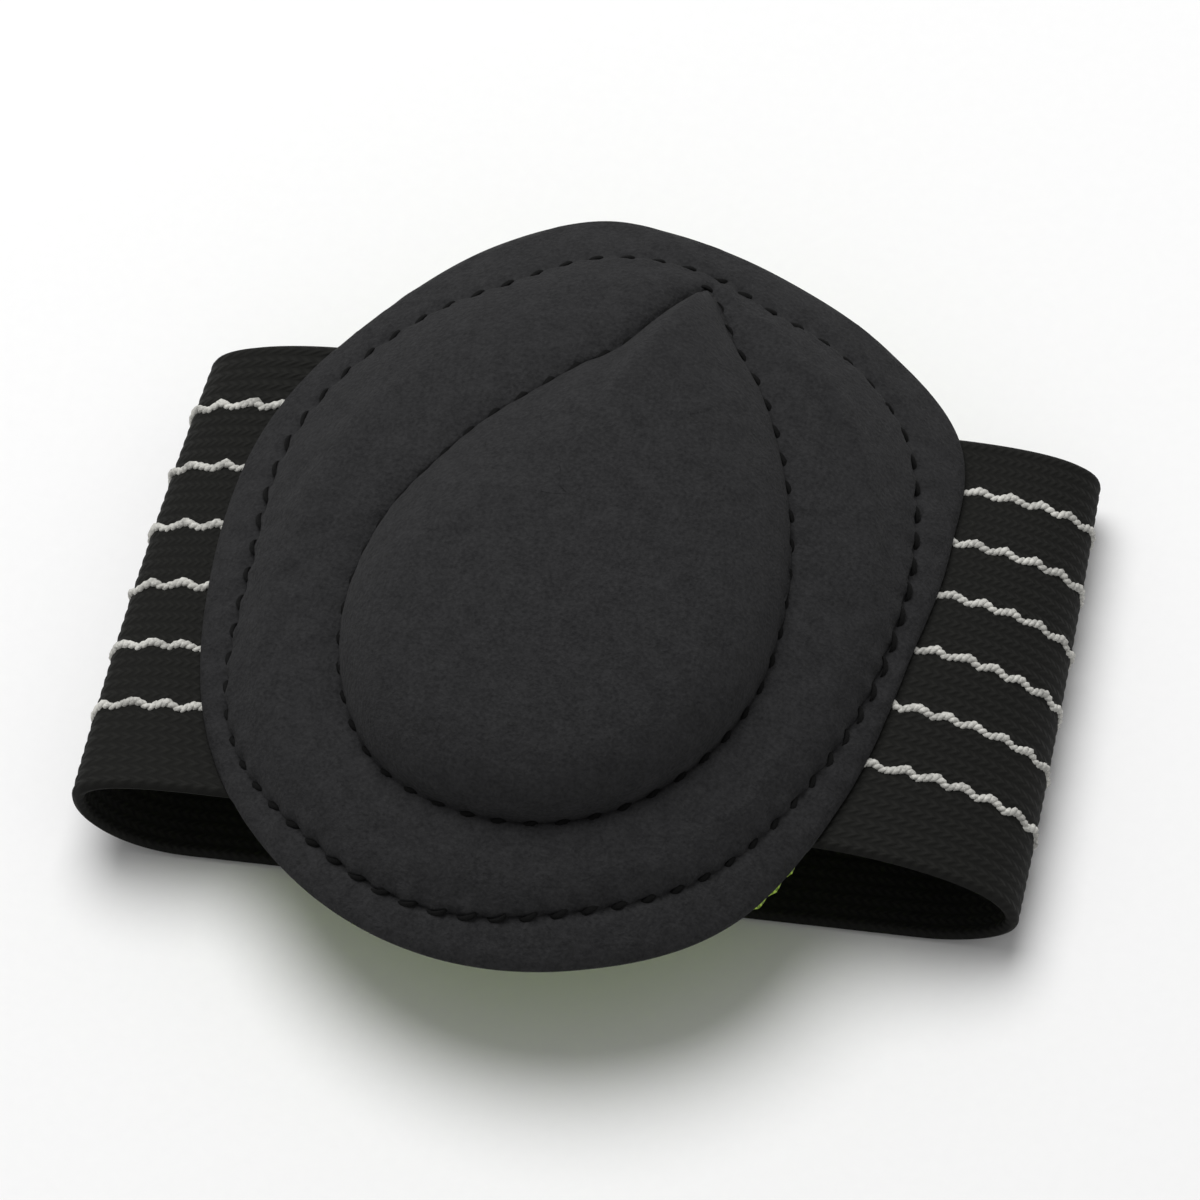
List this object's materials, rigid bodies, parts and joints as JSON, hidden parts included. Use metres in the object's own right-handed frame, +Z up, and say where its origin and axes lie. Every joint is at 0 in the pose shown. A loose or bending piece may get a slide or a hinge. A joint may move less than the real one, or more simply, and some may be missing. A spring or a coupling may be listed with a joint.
{
  "type": "arch support sleeve",
  "caption": "Arch support sleeve: a cupped oval pad with a raised teardrop cushion, worn under the foot's arch on a wide striped elastic band that closes round the midfoot.",
  "frame": {"origin": "under the middle of the whole sleeve, on the ground that it lies on", "axes": "+Z up from the band to the pad, +X across the pad towards its straighter side, +Y along the foot towards the cushion's tip"},
  "size_m": [0.1054, 0.093, 0.0416],
  "materials": {
    "brushed_cloth": "matte brushed nap",
    "lime_knit": "matte fine mesh",
    "foam": "matte cellular foam",
    "elastic": "ribbed knit elastic with light yarn stripes"
  },
  "bodies": {
    "root": {"pad_cover": "brushed_cloth", "arch_cushion": "foam", "pad_lining": "lime_knit", "elastic_band": "elastic"}
  },
  "joints": []
}
